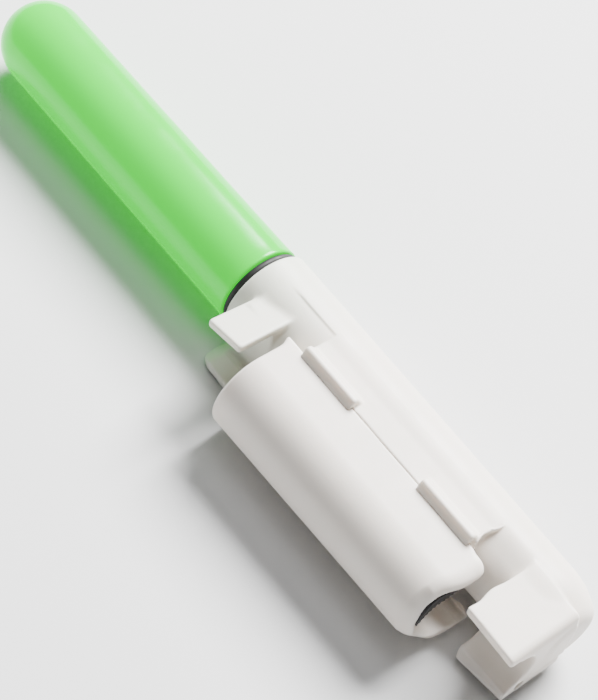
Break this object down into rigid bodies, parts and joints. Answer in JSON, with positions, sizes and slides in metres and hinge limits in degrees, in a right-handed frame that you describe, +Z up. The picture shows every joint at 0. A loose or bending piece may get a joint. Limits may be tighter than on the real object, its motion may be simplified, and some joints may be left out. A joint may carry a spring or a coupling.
{
  "type": "clip-on light stick",
  "caption": "Light stick with a translucent lens on a battery tube, two open hooks and a hinged clamp door that grips a slim rod.",
  "frame": {"origin": "under the middle of the bounding box, on the surface the stick lies on", "axes": "+X along the tube from the lens's tip to the closed end, -Y towards the clamp door, +Z up through the front with the latch ribs"},
  "size_m": [0.0924, 0.0184, 0.0112],
  "materials": {
    "white_body": "satin moulded",
    "white_door": "satin moulded",
    "grip_rubber": "ribbed matt",
    "pin_steel": "drawn",
    "green_lens": "translucent gloss",
    "white_insert": "moulded",
    "seal_rubber": "smooth",
    "led_epoxy": "clear tinted",
    "lead_tin": "tinned",
    "board": "solder mask",
    "chip": "ceramic",
    "grey_holder": "moulded",
    "socket_brass": "plain",
    "contact_steel": "spring",
    "liner_plastic": "moulded",
    "cell_can": "nickel plated",
    "cell_gasket": "moulded",
    "cell_pin": "plated",
    "foam": "closed-cell foam"
  },
  "bodies": {
    "housing": {"body": "white_body", "hinge_pin": "pin_steel", "battery_cushion": "foam"},
    "door": {"clamp_door": "white_door", "door_pad": "grip_rubber"},
    "cartridge": {"led_carrier": "grey_holder", "led_board": "board", "led": "led_epoxy", "anode_lead": "lead_tin", "cathode_lead": "lead_tin", "resistor": "chip", "pin_socket": "socket_brass", "can_contact": "contact_steel", "battery_liner": "liner_plastic", "battery_can": "cell_can", "battery_gasket": "cell_gasket", "battery_pin": "cell_pin"},
    "cap": {"lens": "green_lens", "lens_base": "white_insert", "o_ring": "seal_rubber"}
  },
  "joints": [
    {"name": "door_hinge", "type": "hinge", "parent": "housing", "child": "door", "pos_m": [0.007, -0.00143, 0.00145], "axis": [1, 0, 0], "range_deg": [0, 100]},
    {"name": "cartridge_slide", "type": "slide", "parent": "housing", "child": "cartridge", "axis": [-1, 0, 0], "range_m": [0, 0.003]},
    {"name": "lens_twist", "type": "hinge", "parent": "cartridge", "child": "cap", "pos_m": [-0.0014, 0.00402, 0.0052], "axis": [-1, 0, 0], "range_deg": [0, 1080]}
  ],
  "couplings": [
    {"joint": "lens_twist", "follows": "cartridge_slide", "rad_per_m": 6283.2}
  ]
}
